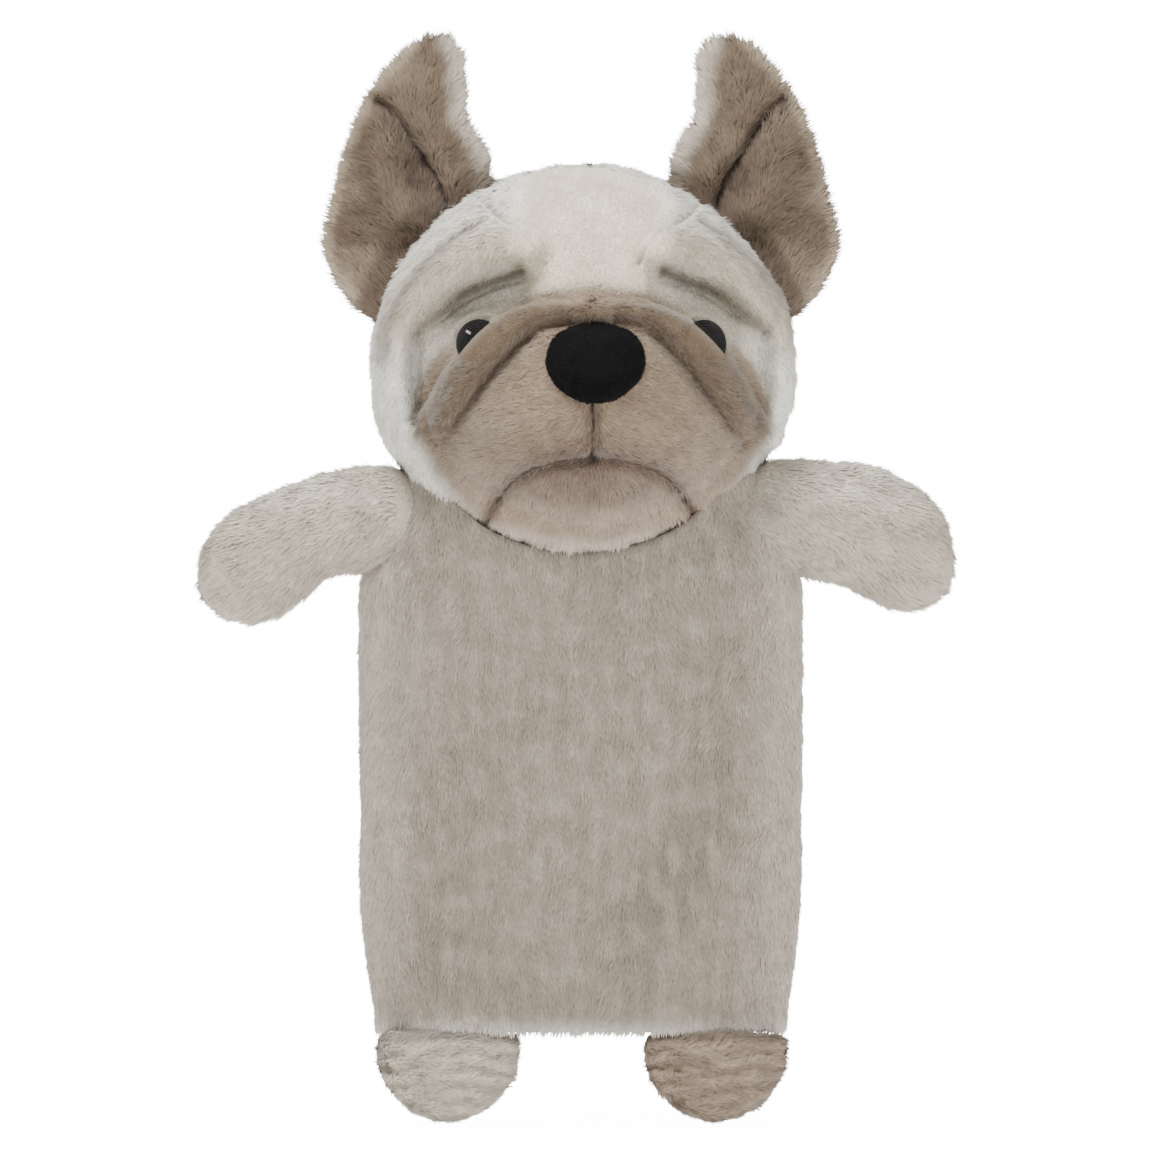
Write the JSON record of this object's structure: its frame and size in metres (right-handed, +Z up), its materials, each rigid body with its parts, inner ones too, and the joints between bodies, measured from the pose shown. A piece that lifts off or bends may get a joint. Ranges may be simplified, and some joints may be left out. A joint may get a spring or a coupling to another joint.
{
  "type": "plush dog hand puppet",
  "caption": "Plush dog hand puppet: an open cloth sleeve for a hand, a stuffed wrinkled head on a finger tube, two finger arms, floppy ears and two flat feet.",
  "frame": {"origin": "centre of the hand opening, in the plane of the hem", "axes": "+Z up, the face looks along -Y, +X is the puppet's own left"},
  "size_m": [0.2112, 0.1016, 0.2995],
  "materials": {
    "plush_taupe": "matte",
    "plush_pale": "matte",
    "plush_body": "matte",
    "plush_foot": "matte",
    "plush_black": "matte",
    "thread_black": "satin",
    "thread_brown": "satin",
    "lining_cloth": "matte",
    "stuffing": "matte"
  },
  "bodies": {
    "sleeve": {"body_front_panel": "plush_body", "body_back_panel": "plush_body", "hem_facing": "lining_cloth"},
    "neck": {"neck_seam_ring": "lining_cloth"},
    "head": {"forehead_panel": "plush_pale", "head_side_left": "plush_pale", "head_side_right": "plush_pale", "head_back_left": "plush_pale", "head_back_right": "plush_pale", "chin_panel": "plush_pale", "head_stuffing": "stuffing", "finger_tube": "lining_cloth", "finger_tube_cap": "lining_cloth", "muzzle_cover": "plush_pale", "muzzle_stuffing": "stuffing", "muzzle_fold": "plush_taupe", "nose": "plush_black", "mouth_stitch": "thread_brown", "philtrum_stitch": "thread_brown", "brow_fold_left": "plush_pale", "brow_fold_right": "plush_pale", "eye_left": "thread_black", "eye_right": "thread_black", "eye_patch_left": "plush_pale", "eye_patch_right": "plush_pale"},
    "armhole_left": {"armhole_seam_left": "lining_cloth"},
    "arm_left": {"arm_front_left": "plush_body", "arm_back_left": "plush_body", "paw_stuffing_left": "stuffing"},
    "ear_left": {"ear_front_left": "plush_taupe", "ear_lining_left": "plush_pale"},
    "foot_left": {"foot_front_left": "plush_foot", "foot_back_left": "plush_foot", "foot_stuffing_left": "stuffing"},
    "armhole_right": {"armhole_seam_right": "lining_cloth"},
    "arm_right": {"arm_front_right": "plush_body", "arm_back_right": "plush_body", "paw_stuffing_right": "stuffing"},
    "ear_right": {"ear_front_right": "plush_taupe", "ear_lining_right": "plush_pale"},
    "foot_right": {"foot_front_right": "plush_foot", "foot_back_right": "plush_foot", "foot_stuffing_right": "stuffing"}
  },
  "joints": [
    {"name": "head_nod", "type": "hinge", "parent": "sleeve", "child": "neck", "pos_m": [0, 0, 0.126], "axis": [1, 0, 0], "range_deg": [-25, 20], "stiffness_Nm_per_rad": 0.25},
    {"name": "head_turn", "type": "hinge", "parent": "neck", "child": "head", "pos_m": [0, 0, 0.126], "axis": [0, 0, 1], "range_deg": [-30, 30], "stiffness_Nm_per_rad": 0.02},
    {"name": "arm_left_open", "type": "hinge", "parent": "sleeve", "child": "armhole_left", "pos_m": [0.06, 0, 0.1375], "axis": [0, 0, 1], "range_deg": [-40, 20], "stiffness_Nm_per_rad": 0.03},
    {"name": "arm_left_raise", "type": "hinge", "parent": "armhole_left", "child": "arm_left", "pos_m": [0.06, 0, 0.1375], "axis": [0, -1, 0], "range_deg": [-12, 30], "stiffness_Nm_per_rad": 0.04},
    {"name": "ear_left_flop", "type": "hinge", "parent": "head", "child": "ear_left", "pos_m": [0.04378, -0.004, 0.22437], "axis": [0.7253, 0, -0.6884], "range_deg": [-40, 45], "stiffness_Nm_per_rad": 0.02},
    {"name": "foot_left_swing", "type": "hinge", "parent": "sleeve", "child": "foot_left", "pos_m": [0.0365, -0.012, -0.0076], "axis": [1, 0, 0], "range_deg": [-80, 15], "stiffness_Nm_per_rad": 0.004},
    {"name": "arm_right_open", "type": "hinge", "parent": "sleeve", "child": "armhole_right", "pos_m": [-0.06, 0, 0.1375], "axis": [0, 0, -1], "range_deg": [-40, 20], "stiffness_Nm_per_rad": 0.03},
    {"name": "arm_right_raise", "type": "hinge", "parent": "armhole_right", "child": "arm_right", "pos_m": [-0.06, 0, 0.1375], "axis": [0, 1, 0], "range_deg": [-12, 30], "stiffness_Nm_per_rad": 0.04},
    {"name": "ear_right_flop", "type": "hinge", "parent": "head", "child": "ear_right", "pos_m": [-0.04378, -0.004, 0.22437], "axis": [0.7253, 0, 0.6884], "range_deg": [-40, 45], "stiffness_Nm_per_rad": 0.02},
    {"name": "foot_right_swing", "type": "hinge", "parent": "sleeve", "child": "foot_right", "pos_m": [-0.0365, -0.012, -0.0076], "axis": [1, 0, 0], "range_deg": [-80, 15], "stiffness_Nm_per_rad": 0.004}
  ]
}
